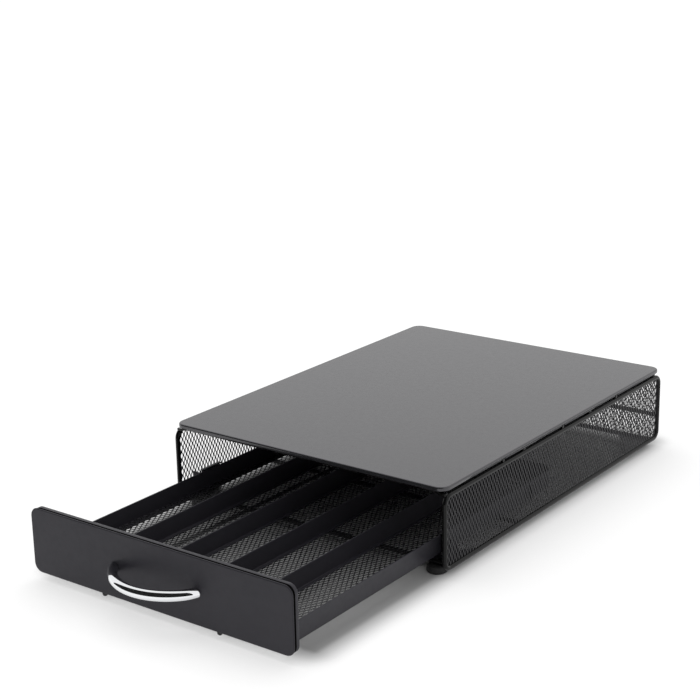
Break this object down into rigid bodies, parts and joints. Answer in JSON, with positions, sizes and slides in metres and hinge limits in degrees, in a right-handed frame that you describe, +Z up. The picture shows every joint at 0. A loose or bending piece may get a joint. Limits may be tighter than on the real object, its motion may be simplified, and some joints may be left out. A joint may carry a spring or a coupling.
{
  "type": "coffee pod drawer",
  "caption": "Low wire-and-mesh cabinet with a steel top plate and a pull-out tray whose channels hold coffee pods.",
  "frame": {"origin": "on the table, below the middle of the whole object with the drawer pulled out as at rest", "axes": "+X to the right as a viewer faces the front panel, +Y from the front panel to the rear mesh, +Z up"},
  "size_m": [0.242, 0.4981, 0.0658],
  "materials": {
    "black_powder_coat": "satin black powder coat with a very fine texture",
    "black_frame_wire": "semi-gloss black coating on round steel wire",
    "black_mesh": "semi-gloss black coated expanded steel mesh",
    "polished_chrome": "polished chrome plate",
    "black_rubber": "matt black moulded rubber",
    "black_nylon": "matt black moulded nylon"
  },
  "bodies": {
    "cabinet": {"top_plate": "black_powder_coat", "top_bar_1": "black_frame_wire", "top_bar_2": "black_frame_wire", "top_bar_3": "black_frame_wire", "top_bar_4": "black_frame_wire", "plate_spacers": "black_frame_wire", "left_side_frame": "black_frame_wire", "right_side_frame": "black_frame_wire", "left_side_mesh": "black_mesh", "right_side_mesh": "black_mesh", "rear_mesh": "black_mesh", "rear_top_rail": "black_frame_wire", "rear_mid_rail": "black_frame_wire", "rear_bottom_rail": "black_frame_wire", "front_bottom_rail": "black_frame_wire", "mid_bottom_bar": "black_frame_wire", "gusset_front_left": "black_powder_coat", "gusset_front_right": "black_powder_coat", "gusset_rear_left": "black_powder_coat", "gusset_rear_right": "black_powder_coat", "foot_front_left": "black_rubber", "foot_front_right": "black_rubber", "foot_rear_left": "black_rubber", "foot_rear_right": "black_rubber", "left_guide_bracket": "black_powder_coat", "right_guide_bracket": "black_powder_coat", "guide_rivets": "polished_chrome"},
    "drawer": {"drawer_front_skin": "black_powder_coat", "drawer_front_pan": "black_powder_coat", "handle": "polished_chrome", "handle_screws": "polished_chrome", "left_tray_wall": "black_powder_coat", "right_tray_wall": "black_powder_coat", "tray_rear_wall": "black_powder_coat", "tray_floor": "black_mesh", "divider_1": "black_powder_coat", "divider_2": "black_powder_coat", "divider_3": "black_powder_coat", "divider_4": "black_powder_coat", "left_runner_wire": "black_frame_wire", "right_runner_wire": "black_frame_wire", "left_stop_tab": "black_powder_coat", "right_stop_tab": "black_powder_coat", "glide_buttons": "black_nylon"}
  },
  "joints": [
    {"name": "drawer_slide", "type": "slide", "parent": "cabinet", "child": "drawer", "axis": [0, -1, 0], "range_m": [-0.152, 0.1]}
  ]
}
